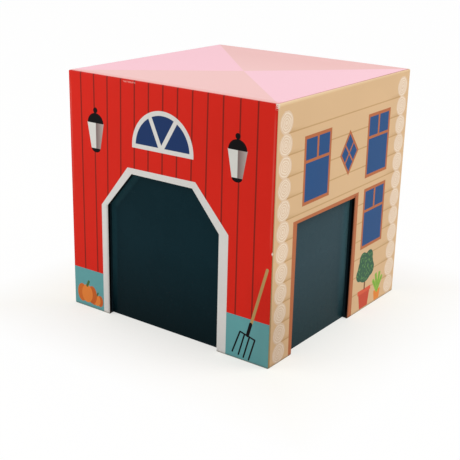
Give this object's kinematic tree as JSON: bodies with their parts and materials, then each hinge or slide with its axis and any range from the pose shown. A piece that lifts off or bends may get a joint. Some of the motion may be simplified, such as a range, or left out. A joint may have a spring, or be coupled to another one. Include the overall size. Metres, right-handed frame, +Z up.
{
  "type": "toy barn with opening doors",
  "caption": "Toy barn for play figures: a papered greyboard cube, open underneath, with a cut-corner barn doorway and a square garage doorway, each closed by an inward-turning leaf.",
  "frame": {"origin": "centre of the footprint, on the surface that the rim stands on", "axes": "+Z up, -Y out of the front wall with the barn doorway, +X out of the wall with the garage doorway"},
  "size_m": [0.16, 0.16, 0.16],
  "materials": {
    "greyboard": "raw pressed grey board",
    "kraft_tape": "gummed kraft tape",
    "front_print": "printed paper, satin laminate",
    "right_print": "printed paper, satin laminate",
    "back_print": "printed paper, satin laminate",
    "left_print": "printed paper, satin laminate",
    "roof_print": "printed card, satin laminate",
    "lining_paper": "dark teal paper, matt",
    "door_paper": "dark teal paper, glossy laminate",
    "stop_board": "board strips faced with dark teal paper",
    "pivot_wood": "sanded beech",
    "rod_wood": "turned birch dowel",
    "hinge_cloth": "bookcloth, dark teal"
  },
  "bodies": {
    "barn_body": {"back_left_corner_tape": "kraft_tape", "back_lining": "lining_paper", "back_right_corner_tape": "kraft_tape", "back_wall_board": "greyboard", "back_wall_paper": "back_print", "barn_door_stops": "stop_board", "barn_lower_pivot_block": "pivot_wood", "barn_upper_pivot_block": "pivot_wood", "front_left_corner_tape": "kraft_tape", "front_lining": "lining_paper", "front_right_corner_tape": "kraft_tape", "front_wall_board": "greyboard", "front_wall_paper": "front_print", "garage_door_stops": "stop_board", "garage_lower_pivot_block": "pivot_wood", "garage_upper_pivot_block": "pivot_wood", "left_lining": "lining_paper", "left_wall_board": "greyboard", "left_wall_paper": "left_print", "right_lining": "lining_paper", "right_wall_board": "greyboard", "right_wall_paper": "right_print", "roof_board": "greyboard", "roof_card": "roof_print", "roof_lining": "lining_paper"},
    "barn_door": {"barn_door_board": "greyboard", "barn_door_paper": "door_paper", "barn_door_back_paper": "lining_paper", "barn_hinge_rod": "rod_wood", "barn_hinge_cloth": "hinge_cloth"},
    "garage_door": {"garage_door_board": "greyboard", "garage_door_paper": "door_paper", "garage_door_back_paper": "lining_paper", "garage_hinge_rod": "rod_wood", "garage_hinge_cloth": "hinge_cloth"}
  },
  "joints": [
    {"name": "barn_door_hinge", "type": "hinge", "parent": "barn_body", "child": "barn_door", "pos_m": [-0.05945, -0.07535, 0.04], "axis": [0, 0, 1], "range_deg": [0, 99]},
    {"name": "garage_door_hinge", "type": "hinge", "parent": "barn_body", "child": "garage_door", "pos_m": [0.07535, 0.02595, 0.045], "axis": [0, 0, -1], "range_deg": [0, 126]}
  ]
}
